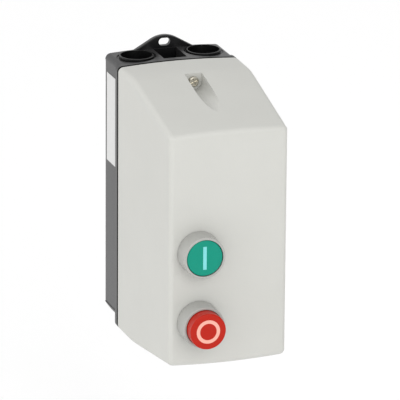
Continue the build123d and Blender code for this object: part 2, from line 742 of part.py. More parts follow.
# ================================================================ rail, earth, wiring
def make_rail():
    front = RAIL_STAND_OFF + RAIL_HEIGHT
    profile = block(RAIL_LEFT, RAIL_RIGHT, RAIL_STAND_OFF, front, RAIL_Z - RAIL_WEB_HALF,
                    RAIL_Z + RAIL_WEB_HALF)
    profile = profile - block(RAIL_LEFT - 1, RAIL_RIGHT + 1, RAIL_STAND_OFF + RAIL_SHEET, front + 1,
                              RAIL_Z - RAIL_WEB_HALF + RAIL_SHEET, RAIL_Z + RAIL_WEB_HALF - RAIL_SHEET)
    for side in (-1, 1):
        low, high = sorted([RAIL_Z + side * (RAIL_WEB_HALF - RAIL_SHEET), RAIL_Z + side * RAIL_HALF])
        profile = profile + block(RAIL_LEFT, RAIL_RIGHT, front - RAIL_SHEET, front, low, high)
    for x in rail_screw_positions():
        profile = profile - rod(x, RAIL_Z, 0, front, RAIL_HOLE_RADIUS)
    return profile


def pan_screw(x, z, seat, length, head_radius, head_height, shank):
    """Slotted screw seated at a depth, its shank running towards the wall."""
    head = rod(x, z, seat, seat + head_height, head_radius)
    head = fillet(head.faces().sort_by(Axis.Y)[0].edges(), PAN_EDGE * head_height)
    screw = head + rod(x, z, seat - length, seat + EMBED, shank)
    slot = Pos(x, z) * Rot(0, 0, PAN_SLOT_TURN) * Rectangle(2 * head_radius + 1, PAN_SLOT_WIDTH)
    return screw - slab(slot, seat + PAN_SLOT_FLOOR * head_height, seat + head_height + 1)


def make_rail_screws():
    seat = RAIL_STAND_OFF + RAIL_SHEET
    return Compound([pan_screw(x, RAIL_Z, seat, RAIL_SCREW_LENGTH, RAIL_SCREW_HEAD, RAIL_SCREW_HEIGHT,
                               M4_SHANK) for x in rail_screw_positions()])


def make_earth_plate():
    front = EARTH_SEAT + EARTH_SHEET
    plate = block(EARTH_X - EARTH_HALF_X, EARTH_X + EARTH_HALF_X, EARTH_SEAT, front, EARTH_Z - EARTH_HALF_Z,
                  EARTH_Z + EARTH_HALF_Z)
    return plate - rod(EARTH_X, EARTH_Z, EARTH_SEAT - 1, front + 1, EARTH_HOLE_RADIUS)


def make_earth_screw():
    return pan_screw(EARTH_X, EARTH_Z, EARTH_SEAT + EARTH_SHEET, EARTH_SCREW_LENGTH, EARTH_SCREW_HEAD,
                     EARTH_SCREW_HEIGHT, M4_SHANK)


# ================================================================ contactor
def centred_block(near, far, half_x, half_z):
    """A block centred on the contactor's own axis."""
    return block(CONTACTOR_X - half_x, CONTACTOR_X + half_x, near, far, RAIL_Z - half_z, RAIL_Z + half_z)


def contactor_box(near, far, half_height):
    return centred_block(near, far, CONTACTOR_WIDTH / 2, half_height)


def contactor_cavity(near, far, half_height):
    return centred_block(near, far, CONTACTOR_WIDTH / 2 - CONTACTOR_WALL, half_height)


def claw_rear():
    """Depth at which a claw reaches behind the rail's flange."""
    return RAIL_STAND_OFF + RAIL_HEIGHT - RAIL_SHEET - CLAW_REAR_GAP - CLAW_LIP


def contactor_seat():
    return RAIL_STAND_OFF + RAIL_HEIGHT + RAIL_GAP


def make_contactor_rear():
    """Coil housing that hooks over the rail."""
    rear = contactor_seat()
    half = CONTACTOR_HEIGHT / 2
    housing = contactor_box(rear, CONTACTOR_SPLIT, half)
    housing = housing - contactor_cavity(CORE_BACK, CONTACTOR_SPLIT + 1, half - CONTACTOR_WALL)
    left, right = CONTACTOR_X - CLAW_HALF, CONTACTOR_X + CLAW_HALF
    low = RAIL_Z + RAIL_HALF + CLAW_GAP
    hook = block(left, right, claw_rear(), rear + EMBED, low, low + CLAW_THICKNESS)
    lip = block(left, right, claw_rear(), claw_rear() + CLAW_LIP, low - CLAW_BITE, low + EMBED)
    channel = block(CONTACTOR_X - LATCH_HALF - LATCH_GAP, CONTACTOR_X + LATCH_HALF + LATCH_GAP, rear - 1,
                    rear + LATCH_THICKNESS + LATCH_GAP, RAIL_Z - half - 1, RAIL_Z - RAIL_HALF + LATCH_CLEAR)
    return housing + hook + lip - channel


def make_rail_latch():
    """Sliding catch that grips the rail's lower flange."""
    rear = contactor_seat()
    left, right = CONTACTOR_X - LATCH_HALF, CONTACTOR_X + LATCH_HALF
    flange = RAIL_Z - RAIL_HALF
    high = flange - CLAW_GAP
    plate = block(left, right, rear, rear + LATCH_THICKNESS, flange - LATCH_LENGTH, high)
    hook = block(left, right, claw_rear(), rear + EMBED, flange - CLAW_THICKNESS, high)
    lip = block(left, right, claw_rear(), claw_rear() + CLAW_LIP, high - EMBED, flange + LATCH_HOOK)
    return plate + hook + lip


def core(yoke_near, yoke_far, limb_near, limb_far):
    """E-shaped stack of laminations: a yoke and three limbs."""
    left, right = CONTACTOR_X - CORE_HALF, CONTACTOR_X + CORE_HALF
    low, high = RAIL_Z - CORE_REACH, RAIL_Z + CORE_REACH
    shape = block(left, right, yoke_near, yoke_far, low, high)
    shape = shape + centred_block(limb_near, limb_far, CORE_HALF, CORE_CENTRE_HALF)
    shape = shape + block(left, right, limb_near, limb_far, low, low + CORE_LIMB)
    return shape + block(left, right, limb_near, limb_far, high - CORE_LIMB, high)


def make_fixed_core():
    return core(CORE_BACK, CORE_BACK + CORE_YOKE, CORE_BACK, CORE_FACE)


def make_moving_core():
    return core(MOVING_CORE_FRONT - CORE_YOKE, MOVING_CORE_FRONT, CORE_FACE + AIR_GAP, MOVING_CORE_FRONT)


def bobbin_tube_half():
    return CORE_HALF + BOBBIN_GAP, CORE_CENTRE_HALF + BOBBIN_GAP


def make_bobbin():
    half_x, half_z = bobbin_tube_half()
    spool = centred_block(BOBBIN_REAR, BOBBIN_FRONT, half_x + BOBBIN_WALL, half_z + BOBBIN_WALL)
    spool = spool + centred_block(BOBBIN_REAR, BOBBIN_REAR + BOBBIN_FLANGE, BOBBIN_FLANGE_X, BOBBIN_FLANGE_Z)
    spool = spool + centred_block(BOBBIN_FRONT - BOBBIN_FLANGE, BOBBIN_FRONT, BOBBIN_FLANGE_X,
                                  BOBBIN_FLANGE_Z)
    return spool - centred_block(BOBBIN_REAR - 1, BOBBIN_FRONT + 1, half_x, half_z)


def make_winding():
    half_x, half_z = bobbin_tube_half()
    near, far = BOBBIN_REAR + BOBBIN_FLANGE, BOBBIN_FRONT - BOBBIN_FLANGE
    copper = centred_block(near, far, BOBBIN_FLANGE_X - WINDING_INSET, BOBBIN_FLANGE_Z - WINDING_INSET)
    copper = fillet(copper.edges().filter_by(Axis.Y), WINDING_CORNER)
    return copper - centred_block(near - 1, far + 1, half_x + BOBBIN_WALL, half_z + BOBBIN_WALL)


def make_contactor_front():
    """Contact chamber with its terminal shoulders and raised nose."""
    near = CONTACTOR_SPLIT + SPLIT_GAP
    half = CONTACTOR_HEIGHT / 2
    housing = contactor_box(near, CONTACTOR_SHOULDER, half)
    housing = housing + contactor_box(near, CONTACTOR_FRONT, CONTACTOR_NOSE_HALF)
    housing = fillet(housing.faces().sort_by(Axis.Y)[0].edges(), NOSE_EDGE)
    housing = housing - contactor_cavity(near - 1, CONTACTOR_FRONT - CONTACTOR_NOSE_WALL,
                                         CONTACTOR_NOSE_HALF - CONTACTOR_WALL)
    housing = housing - contactor_cavity(near - 1, near + CHAMBER_DEPTH, half - CONTACTOR_WALL)
    for index in range(POLES):
        x = pole_x(index)
        for side in (-1, 1):
            low, high = sorted([RAIL_Z + side * CONTACT_INNER, RAIL_Z + side * (CONTACT_OUTER + CONTACT_GAP)])
            slot_half = CONTACT_PLATE_HALF + CONTACT_GAP
            housing = housing - block(x - slot_half, x + slot_half, CONTACT_PLATE_DEPTH - CONTACT_GAP,
                                      CONTACT_PLATE_DEPTH + CONTACT_PLATE + CONTACT_GAP, low, high)
            well_z = RAIL_Z + side * SCREW_COLUMN
            housing = housing - rod(x, well_z, CONTACT_PLATE_DEPTH, CONTACTOR_SHOULDER + 1,
                                    TERMINAL_HEAD_RADIUS + TERMINAL_WELL_GAP)
            entry_end = CONTACTOR_NOSE_HALF + WIRE_ENTRY_END
            low, high = sorted([RAIL_Z + side * entry_end, RAIL_Z + side * (half + 1)])
            housing = housing - block(x - WIRE_ENTRY_HALF, x + WIRE_ENTRY_HALF,
                                      CONTACT_PLATE_DEPTH - WIRE_ENTRY_DEPTH, CONTACT_PLATE_DEPTH, low, high)
    return housing - centred_block(CONTACTOR_FRONT - CONTACTOR_NOSE_WALL - 1, CONTACTOR_FRONT + 1,
                                   WINDOW_HALF_X, WINDOW_HALF_Z)


def contact_plates(side):
    """One row of fixed contacts; side is +1 for the line row, -1 for the load row."""
    plates = []
    for index in range(POLES):
        x = pole_x(index)
        low, high = sorted([RAIL_Z + side * CONTACT_INNER, RAIL_Z + side * CONTACT_OUTER])
        plate = block(x - CONTACT_PLATE_HALF, x + CONTACT_PLATE_HALF, CONTACT_PLATE_DEPTH,
                      CONTACT_PLATE_DEPTH + CONTACT_PLATE, low, high)
        plates.append(plate - rod(x, RAIL_Z + side * SCREW_COLUMN, CONTACT_PLATE_DEPTH - 1,
                                  CONTACT_PLATE_DEPTH + CONTACT_PLATE + 1, TERMINAL_SHANK + CONTACT_GAP))
    return Compound(plates)


def terminal_screw(x, z, seat):
    return pan_screw(x, z, seat, TERMINAL_SHANK_LENGTH, TERMINAL_HEAD_RADIUS, TERMINAL_HEAD, TERMINAL_SHANK)


def make_contactor_screws():
    seat = CONTACT_PLATE_DEPTH + CONTACT_PLATE
    return Compound([terminal_screw(pole_x(index), RAIL_Z + side * SCREW_COLUMN, seat)
                     for index in range(POLES) for side in (-1, 1)])


def make_carrier():
    """Moulded carrier joined to the moving core; it holds one bridge per pole."""
    near = MOVING_CORE_FRONT
    plate = centred_block(near, near + CARRIER_PLATE, CARRIER_PLATE_HALF_X, CARRIER_PLATE_HALF_Z)
    stem = centred_block(near, CARRIER_FRONT, CARRIER_HALF_X, CARRIER_HALF_Z)
    nose = centred_block(CARRIER_FRONT - EMBED, CONTACTOR_FRONT - CARRIER_NOSE_SUNK, CARRIER_NOSE_HALF_X,
                         CARRIER_NOSE_HALF_Z)
    carrier = plate + stem + nose
    for index in range(POLES):
        x = pole_x(index)
        carrier = carrier - block(x - BRIDGE_HALF_X, x + BRIDGE_HALF_X, BRIDGE_DEPTH - BRIDGE_SLOT,
                                  BRIDGE_DEPTH + BRIDGE_THICKNESS, RAIL_Z - CARRIER_HALF_Z - 1,
                                  RAIL_Z + CARRIER_HALF_Z + 1)
    return carrier


def make_bridges():
    return Compound([block(pole_x(index) - BRIDGE_HALF_X, pole_x(index) + BRIDGE_HALF_X, BRIDGE_DEPTH,
                           BRIDGE_DEPTH + BRIDGE_THICKNESS, RAIL_Z - BRIDGE_HALF_Z, RAIL_Z + BRIDGE_HALF_Z)
                     for index in range(POLES)])


def make_carrier_springs():
    near = BOBBIN_FRONT + CORE_PLATE_GAP
    far = MOVING_CORE_FRONT - CORE_PLATE_GAP
    return Compound([spring(CONTACTOR_X + side * CARRIER_SPRING_X, RAIL_Z, near, far, CARRIER_SPRING_RADIUS,
                            CARRIER_SPRING_WIRE, CARRIER_SPRING_TURNS) for side in (-1, 1)])


# ================================================================ start contact block
def block_centre():
    return (BLOCK_LEFT + BLOCK_RIGHT) / 2


def block_screw_heights():
    return BLOCK_LOW + BLOCK_WELL_INSET, BLOCK_HIGH - BLOCK_WELL_INSET


def start_bridge_depth():
    return START_CONTACT_DEPTH + BUTTON_TRAVEL + START_CONTACT_GAP


def make_start_block():
    shape = block(BLOCK_LEFT, BLOCK_RIGHT, BLOCK_REAR, BLOCK_FRONT, BLOCK_LOW, BLOCK_HIGH)
    shape = fillet(shape.faces().sort_by(Axis.Y)[0].edges(), BLOCK_EDGE)
    shape = shape - block(BLOCK_LEFT + BLOCK_WALL, BLOCK_RIGHT - BLOCK_WALL, BLOCK_REAR + BLOCK_WALL,
                          BLOCK_FRONT - BLOCK_FACE, BLOCK_LOW + BLOCK_END, BLOCK_HIGH - BLOCK_END)
    shape = shape - rod(BUTTON_X, START_Z, start_bridge_depth(), BLOCK_FRONT + 1,
                        PLUNGER_RADIUS + PLUNGER_GAP)
    for z in block_screw_heights():
        shape = shape - rod(block_centre(), z, BLOCK_FRONT - BLOCK_WELL, BLOCK_FRONT + 1, BLOCK_WELL_RADIUS)
    return shape


def make_block_screws():
    return Compound([pan_screw(block_centre(), z, BLOCK_FRONT - BLOCK_WELL, 0.0, BLOCK_SCREW_HEAD,
                               BLOCK_SCREW_HEIGHT, BLOCK_SCREW_SHANK) for z in block_screw_heights()])


def make_block_contacts():
    plates = []
    low_span = BLOCK_LOW + BLOCK_END, START_Z - START_CONTACT_SPLIT
    high_span = START_Z + START_CONTACT_SPLIT, BLOCK_HIGH - BLOCK_END
    for low, high in (low_span, high_span):
        plates.append(block(BUTTON_X - START_CONTACT_HALF, BUTTON_X + START_CONTACT_HALF,
                            START_CONTACT_DEPTH - START_CONTACT_SHEET, START_CONTACT_DEPTH, low, high))
    return Compound(plates)


def make_start_plunger():
    tip = BLOCK_FRONT + PLUNGER_PROUD
    stem = rod(BUTTON_X, START_Z, BLOCK_FRONT - PLUNGER_STEM, tip, PLUNGER_RADIUS)
    near = start_bridge_depth() + START_CONTACT_SHEET
    foot = block(BUTTON_X - PLUNGER_FOOT_X, BUTTON_X + PLUNGER_FOOT_X, near,
                 BLOCK_FRONT - PLUNGER_STEM + EMBED, START_Z - PLUNGER_FOOT_Z, START_Z + PLUNGER_FOOT_Z)
    return stem + foot


def make_start_bridge():
    near = start_bridge_depth()
    return block(BUTTON_X - START_BRIDGE_HALF_X, BUTTON_X + START_BRIDGE_HALF_X, near,
                 near + START_CONTACT_SHEET, START_Z - START_BRIDGE_HALF_Z, START_Z + START_BRIDGE_HALF_Z)


def make_start_block_spring():
    near = BLOCK_REAR + BLOCK_WALL
    return spring(BUTTON_X, START_Z, near, start_bridge_depth(), BLOCK_SPRING_RADIUS, BLOCK_SPRING_WIRE,
                  BLOCK_SPRING_TURNS)


# ================================================================ overload relay
def make_relay_housing():
    housing = block(RELAY_LEFT, RELAY_RIGHT, RELAY_REAR, RELAY_SHOULDER, RELAY_LOW, RELAY_HIGH)
    housing = housing + block(RELAY_LEFT, RELAY_RIGHT, RELAY_REAR, RELAY_FRONT, RELAY_SHOULDER_Z, RELAY_HIGH)
    housing = fillet(housing.faces().sort_by(Axis.Y)[0].edges(), RELAY_EDGE)
    inner_left, inner_right = RELAY_LEFT + RELAY_WALL, RELAY_RIGHT - RELAY_WALL
    housing = housing - block(inner_left, inner_right, RELAY_REAR + RELAY_WALL, RELAY_FRONT - RELAY_FACE,
                              RELAY_SHOULDER_Z + RELAY_WALL, RELAY_HIGH - RELAY_WALL)
    depth = RELAY_PLATE_DEPTH
    plate_low = RELAY_LOW + RELAY_PLATE_LOW - CONTACT_GAP
    plate_high = RELAY_SHOULDER_Z + RELAY_PLATE_HIGH
    for index in range(RELAY_POLES):
        x = relay_pole_x(index)
        half = CONTACT_PLATE_HALF + CONTACT_GAP
        housing = housing - block(x - half, x + half, depth - CONTACT_GAP,
                                  depth + CONTACT_PLATE + CONTACT_GAP, plate_low, plate_high)
        housing = housing - rod(x, RELAY_SCREW_Z, depth, RELAY_SHOULDER + 1,
                                TERMINAL_HEAD_RADIUS + TERMINAL_WELL_GAP)
        housing = housing - block(x - WIRE_ENTRY_HALF, x + WIRE_ENTRY_HALF, depth - WIRE_ENTRY_DEPTH, depth,
                                  RELAY_LOW - 1, RELAY_SHOULDER_Z - WIRE_ENTRY_HALF)
    for index in range(1, RELAY_POLES - 1):
        x = relay_pole_x(index)
        half = PIN_HALF + 2 * PIN_GAP
        housing = housing - block(x - half, x + half, depth - PIN_GAP, depth + PIN_SHEET + 3 * PIN_GAP,
                                  RELAY_HIGH - RELAY_WALL - 1, RELAY_HIGH + 1)
    housing = housing - rod(BUTTON_X, STOP_Z, RESET_TAIL, RELAY_FRONT + 1, PLUNGER_RADIUS + PLUNGER_GAP)
    housing = housing - rod(DIAL_X, DIAL_Z, RELAY_FRONT - DIAL_SUNK, RELAY_FRONT + 1, DIAL_RADIUS + DIAL_FIT)
    return housing


def make_relay_pins():
    """Rigid tails that plug into the contactor's load terminals."""
    depth = RELAY_PLATE_DEPTH
    low = RELAY_HIGH - PIN_SUNK
    high = RAIL_Z - CONTACTOR_HEIGHT / 2 + PIN_REACH
    return Compound([block(relay_pole_x(index) - PIN_HALF, relay_pole_x(index) + PIN_HALF, depth + PIN_GAP,
                           depth + PIN_GAP + PIN_SHEET, low, high) for index in range(1, RELAY_POLES - 1)])


def make_relay_terminals():
    depth = RELAY_PLATE_DEPTH
    plates = []
    for index in range(RELAY_POLES):
        x = relay_pole_x(index)
        plate = block(x - CONTACT_PLATE_HALF, x + CONTACT_PLATE_HALF, depth, depth + CONTACT_PLATE,
                      RELAY_LOW + RELAY_PLATE_LOW, RELAY_SHOULDER_Z + RELAY_PLATE_HIGH)
        plates.append(plate - rod(x, RELAY_SCREW_Z, depth - 1, depth + CONTACT_PLATE + 1,
                                  TERMINAL_SHANK + CONTACT_GAP))
    return Compound(plates)


def make_relay_screws():
    seat = RELAY_PLATE_DEPTH + CONTACT_PLATE
    return Compound([terminal_screw(relay_pole_x(index), RELAY_SCREW_Z, seat)
                     for index in range(RELAY_POLES)])


def make_bimetals():
    near = RELAY_PLATE_DEPTH + BIMETAL_GAP
    low, high = RELAY_SHOULDER_Z + RELAY_PLATE_HIGH, RELAY_HIGH - PIN_SUNK
    return Compound([block(relay_pole_x(index) - BIMETAL_HALF, relay_pole_x(index) + BIMETAL_HALF, near,
                           near + BIMETAL_THICKNESS, low, high) for index in range(1, RELAY_POLES - 1)])


def make_reset_plunger():
    tip = RELAY_FRONT + PLUNGER_PROUD
    stem = rod(BUTTON_X, STOP_Z, RESET_TAIL + BUTTON_TRAVEL + RESET_SEAT, tip, PLUNGER_RADIUS)
    return fillet(stem.faces().sort_by(Axis.Y)[0].edges(), RESET_EDGE)


def make_reset_spring():
    near = RELAY_REAR + RELAY_WALL
    far = RESET_TAIL + BUTTON_TRAVEL + RESET_SEAT
    return spring(BUTTON_X, STOP_Z, near, far, RESET_SPRING_RADIUS, RESET_SPRING_WIRE, RESET_SPRING_TURNS)


def make_dial():
    far = RELAY_FRONT + DIAL_PROUD
    dial = rod(DIAL_X, DIAL_Z, RELAY_FRONT - DIAL_SUNK + DIAL_END_GAP, far, DIAL_RADIUS)
    dial = fillet(dial.faces().sort_by(Axis.Y)[0].edges(), DIAL_EDGE)
    slot = Rectangle(DIAL_SLOT_LENGTH, DIAL_SLOT_WIDTH) + Rectangle(DIAL_SLOT_WIDTH, DIAL_SLOT_LENGTH)
    arrow = Pos(DIAL_X, DIAL_Z + DIAL_RADIUS - DIAL_ARROW_INSET) * RegularPolygon(DIAL_ARROW, 3, rotation=90)
    dial = dial - slab(Pos(DIAL_X, DIAL_Z) * slot, far - DIAL_SLOT_DEPTH, far + 1)
    return dial - slab(arrow, far - DIAL_ARROW_DEPTH, far + 1)


# ================================================================ control wires
def wire(points, radii):
    path = FilletPolyline(*points, radius=radii)
    section = Plane(origin=path @ 0, z_dir=path % 0) * Circle(WIRE_RADIUS)
    return sweep(section, path=path)


def make_wires():
    left = block_centre()
    to_line = [(left, -100, BLOCK_HIGH), (left, -100, 34), (left, -86, 64), (pole_x(0), -71.8, 70),
               (pole_x(0), -71.8, 57)]
    to_relay = [(left, -100, BLOCK_LOW), (left, -100, -30), (-33.5, -86, -48), (-33.5, -73, -78),
                (-31.0, -70, -91.4), (relay_pole_x(0), -70, -91.4), (relay_pole_x(0), -70, -84.5)]
    return Compound([wire(to_line, [6.0, 8.0, 5.0]), wire(to_relay, [4.0, 6.0, 6.0, 3.0, 3.0])])


# ================================================================ write the parts
START_FACE = COVER_FRONT + BEZEL_HEIGHT - START_SUNK
STOP_FACE = COVER_FRONT + BEZEL_HEIGHT + STOP_PROUD
START_TIP = BLOCK_FRONT + PLUNGER_PROUD + ROD_LASH
STOP_TIP = RELAY_FRONT + PLUNGER_PROUD + ROD_LASH

PARTS = {
    "base": make_base,
    "entry_plugs": make_entry_plugs,
    "base_seal": make_seal,
    "hinge_pins": make_hinge_pins,
    "side_label": make_label,
    "din_rail": make_rail,
    "rail_screws": make_rail_screws,
    "earth_plate": make_earth_plate,
    "earth_screw": make_earth_screw,
    "cover": make_cover,
    "cover_screw": make_cover_screw,
    "screw_retainer": make_screw_ring,
    "start_bezel": lambda: make_bezel(START_Z),
    "start_bezel_seal": lambda: make_bezel_seal(START_Z),
    "start_nut": lambda: make_nut(START_Z),
    "start_cap": lambda: make_cap(START_Z, START_FACE, CAP_LENGTH, i_mark(MARK_GAP)),
    "start_mark": lambda: make_mark(START_Z, START_FACE, i_mark(0)),
    "start_rod": lambda: make_button_rod(START_Z, START_FACE, START_TIP),
    "start_spring": lambda: make_button_spring(START_Z, START_FACE),
    "stop_bezel": lambda: make_bezel(STOP_Z),
    "stop_bezel_seal": lambda: make_bezel_seal(STOP_Z),
    "stop_nut": lambda: make_nut(STOP_Z),
    "stop_cap": lambda: make_cap(STOP_Z, STOP_FACE, CAP_LENGTH + STOP_PROUD, o_mark(MARK_GAP)),
    "stop_mark": lambda: make_mark(STOP_Z, STOP_FACE, o_mark(0)),
    "stop_rod": lambda: make_button_rod(STOP_Z, STOP_FACE, STOP_TIP),
    "stop_spring": lambda: make_button_spring(STOP_Z, STOP_FACE),
    "contactor_rear_housing": make_contactor_rear,
    "contactor_front_housing": make_contactor_front,
    "rail_latch": make_rail_latch,
    "fixed_core": make_fixed_core,
    "moving_core": make_moving_core,
    "coil_bobbin": make_bobbin,
    "coil_winding": make_winding,
    "line_contacts": lambda: contact_plates(1),
    "load_contacts": lambda: contact_plates(-1),
    "contactor_screws": make_contactor_screws,
    "contact_carrier": make_carrier,
    "contact_bridges": make_bridges,
    "carrier_springs": make_carrier_springs,
    "start_block": make_start_block,
    "start_block_screws": make_block_screws,
    "start_block_contacts": make_block_contacts,
    "start_plunger": make_start_plunger,
    "start_bridge": make_start_bridge,
    "start_plunger_spring": make_start_block_spring,
    "relay_housing": make_relay_housing,
    "relay_pins": make_relay_pins,
    "relay_terminals": make_relay_terminals,
    "relay_screws": make_relay_screws,
    "bimetal_strips": make_bimetals,
    "reset_plunger": make_reset_plunger,
    "reset_spring": make_reset_spring,
    "current_dial": make_dial,
    "control_wires": make_wires,
}

for name, make in PARTS.items():
    export_step(make(), f"parts/{name}.step")
    print(name)
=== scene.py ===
import json
from math import cos, pi, radians, sin
import bmesh
import bpy
from mathutils import Matrix, Vector


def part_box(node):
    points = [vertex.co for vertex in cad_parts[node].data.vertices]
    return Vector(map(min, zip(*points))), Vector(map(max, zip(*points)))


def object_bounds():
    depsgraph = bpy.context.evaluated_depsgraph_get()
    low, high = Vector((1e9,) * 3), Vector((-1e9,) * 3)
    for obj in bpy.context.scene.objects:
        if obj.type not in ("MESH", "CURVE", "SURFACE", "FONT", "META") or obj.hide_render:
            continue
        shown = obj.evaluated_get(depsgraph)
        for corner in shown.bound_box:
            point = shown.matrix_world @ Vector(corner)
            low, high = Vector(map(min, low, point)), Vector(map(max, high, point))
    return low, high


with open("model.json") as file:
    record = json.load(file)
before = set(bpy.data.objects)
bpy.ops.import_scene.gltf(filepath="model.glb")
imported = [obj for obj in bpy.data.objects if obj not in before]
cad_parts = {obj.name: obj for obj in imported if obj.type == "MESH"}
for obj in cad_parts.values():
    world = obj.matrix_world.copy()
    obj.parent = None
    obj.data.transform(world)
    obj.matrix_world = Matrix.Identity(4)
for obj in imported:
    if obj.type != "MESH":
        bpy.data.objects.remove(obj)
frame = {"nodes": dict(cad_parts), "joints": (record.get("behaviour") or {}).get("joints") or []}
cad_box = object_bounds()


# ---------------------------------------------------------------- base
# The base is a shallow box of near-black glass-filled polyamide, injection moulded in one
# shot with its two fixing lugs, hinge arms and the post that takes the cover's screw.
# The mould was spark-eroded, so the skin is matt and evenly pitted, with no flow lines.
MM = 0.001


def linear(hex_colour):
    """An sRGB hex colour as the linear values that a shader takes."""
    channels = [int(hex_colour[i:i + 2], 16) / 255 for i in (1, 3, 5)]
    return [c / 12.92 if c <= 0.04045 else ((c + 0.055) / 1.055) ** 2.4 for c in channels] + [1.0]


def add_node(tree, kind, settings=None, links=None):
    """Adds a node: settings are properties or unlinked inputs, links are outputs that feed it."""
    node = tree.nodes.new(kind)
    for name, value in (settings or {}).items():
        if name in node.inputs:
            node.inputs[name].default_value = value
        else:
            setattr(node, name, value)
    for name, output in (links or {}).items():
        tree.links.new(output, node.inputs[name])
    return node


def start_material(name):
    """A new material: its node tree, its shader and a position in metres."""
    material = bpy.data.materials.new(name)
    material.use_nodes = True
    tree = material.node_tree
    position = add_node(tree, "ShaderNodeTexCoord").outputs["Object"]
    return material, tree, tree.nodes["Principled BSDF"], position


def per_mm(size_mm):
    """Texture scale that makes a feature this many millimetres across."""
    return 1 / (size_mm * MM)


def moulded_skin(name, light, dark, roughness, ior, pit_mm, pit_depth_mm, cloud_mm=30.0):
    """Thermoplastic from a spark-eroded mould: two close shades in soft clouds, and fine pits."""
    material, tree, shader, position = start_material(name)
    cloud = add_node(tree, "ShaderNodeTexNoise", {"Scale": per_mm(cloud_mm), "Detail": 3.0},
                     {"Vector": position})
    shade = add_node(tree, "ShaderNodeMixRGB", {"Color1": linear(dark), "Color2": linear(light)},
                     {"Fac": cloud.outputs["Fac"]})
    pits = add_node(tree, "ShaderNodeTexNoise", {"Scale": per_mm(pit_mm), "Detail": 2.0,
                                                 "Roughness": 0.6}, {"Vector": position})
    polish = add_node(tree, "ShaderNodeMapRange", {"To Min": roughness - 0.06, "To Max": roughness + 0.06},
                      {"Value": pits.outputs["Fac"]})
    relief = add_node(tree, "ShaderNodeBump", {"Strength": 1.0, "Distance": pit_depth_mm * MM},
                      {"Height": pits.outputs["Fac"]})
    tree.links.new(shade.outputs["Color"], shader.inputs["Base Color"])
    tree.links.new(polish.outputs["Result"], shader.inputs["Roughness"])
    tree.links.new(relief.outputs["Normal"], shader.inputs["Normal"])
    shader.inputs["IOR"].default_value = ior
    return material


def dress(material, *nodes):
    """Gives CAD nodes their finish."""
    for name in nodes:
        mesh = frame["nodes"][name].data
        for index in range(len(mesh.materials)):
            mesh.materials[index] = material


# Glass-filled polyamide: near black, matt, and brighter where it is seen edge-on.
# The real pits are about 0.2 mm apart; they are drawn at 0.7 mm so that they show.
# A little sheen stands for the fibre ends, which catch the light at a glancing angle.
BASE_SHEEN = 0.04

base_polyamide = moulded_skin("glass_filled_polyamide_dark_grey", "#0b0b0d", "#070708", 0.3, 1.45, 0.7, 0.03)
base_shader = base_polyamide.node_tree.nodes["Principled BSDF"]
base_shader.inputs["Sheen Weight"].default_value = BASE_SHEEN
dress(base_polyamide, "base")


# ---------------------------------------------------------------- entry blanks
# Two blind cups close the cable entries in the top. They are black polyethylene, softer
# than the base, pushed in from above and seated on their flanges.
black_polyethylene = moulded_skin("black_polyethylene", "#080809", "#050506", 0.34, 1.4, 0.9, 0.02)
dress(black_polyethylene, "entry_plugs")


# ---------------------------------------------------------------- seals
# Closed-cell rubber: the strip in the base's groove, the washers under the button collars
# and the ring that keeps the cover screw captive. Cut or moulded, then pressed in place.
def cell_rubber():
    """Black foam rubber: very matt, with open cells about half a millimetre across."""
    material, tree, shader, position = start_material("closed_cell_rubber")
    cells = add_node(tree, "ShaderNodeTexVoronoi", {"Scale": per_mm(0.5)}, {"Vector": position})
    shade = add_node(tree, "ShaderNodeMixRGB", {"Color1": linear("#0c0c0d"), "Color2": linear("#242426")},
                     {"Fac": cells.outputs["Distance"]})
    relief = add_node(tree, "ShaderNodeBump", {"Strength": 0.8, "Distance": 0.05 * MM},
                      {"Height": cells.outputs["Distance"]})
    tree.links.new(shade.outputs["Color"], shader.inputs["Base Color"])
    tree.links.new(relief.outputs["Normal"], shader.inputs["Normal"])
    shader.inputs["Roughness"].default_value = 0.85
    shader.inputs["IOR"].default_value = 1.5
    return material


dress(cell_rubber(), "base_seal", "start_bezel_seal", "stop_bezel_seal", "screw_retainer")


# ---------------------------------------------------------------- zinc-plated steel
# Hinge pins, the 35 mm rail and every terminal screw are mild steel, rolled or cold headed,
# then barrel plated in zinc: grey-white, faintly blue, with fine drawing lines.
def plated_steel(name, colour, dull, roughness, line_mm):
    """Plated steel: drawing lines along X in both its gloss and its relief, and a dull bloom."""
    material, tree, shader, position = start_material(name)
    stretched = add_node(tree, "ShaderNodeMapping", {"Scale": (0.06, 1.0, 1.0)}, {"Vector": position})
    lines = add_node(tree, "ShaderNodeTexNoise", {"Scale": per_mm(line_mm), "Detail": 2.0},
                     {"Vector": stretched.outputs["Vector"]})
    bloom = add_node(tree, "ShaderNodeTexNoise", {"Scale": per_mm(4.0), "Detail": 3.0}, {"Vector": position})
    shade = add_node(tree, "ShaderNodeMixRGB", {"Color1": linear(colour), "Color2": linear(dull)},
                     {"Fac": bloom.outputs["Fac"]})
    polish = add_node(tree, "ShaderNodeMapRange", {"To Min": roughness - 0.1, "To Max": roughness + 0.12},
                      {"Value": lines.outputs["Fac"]})
    relief = add_node(tree, "ShaderNodeBump", {"Strength": 0.5, "Distance": 0.008 * MM},
                      {"Height": lines.outputs["Fac"]})
    tree.links.new(shade.outputs["Color"], shader.inputs["Base Color"])
    tree.links.new(polish.outputs["Result"], shader.inputs["Roughness"])
    tree.links.new(relief.outputs["Normal"], shader.inputs["Normal"])
    shader.inputs["Metallic"].default_value = 1.0
    return material


zinc_plate = plated_steel("zinc_plated_steel", "#d3d5d4", "#b4b7b9", 0.36, 0.3)
dress(zinc_plate, "hinge_pins", "din_rail", "rail_screws", "contactor_screws", "start_block_screws",
      "relay_screws")


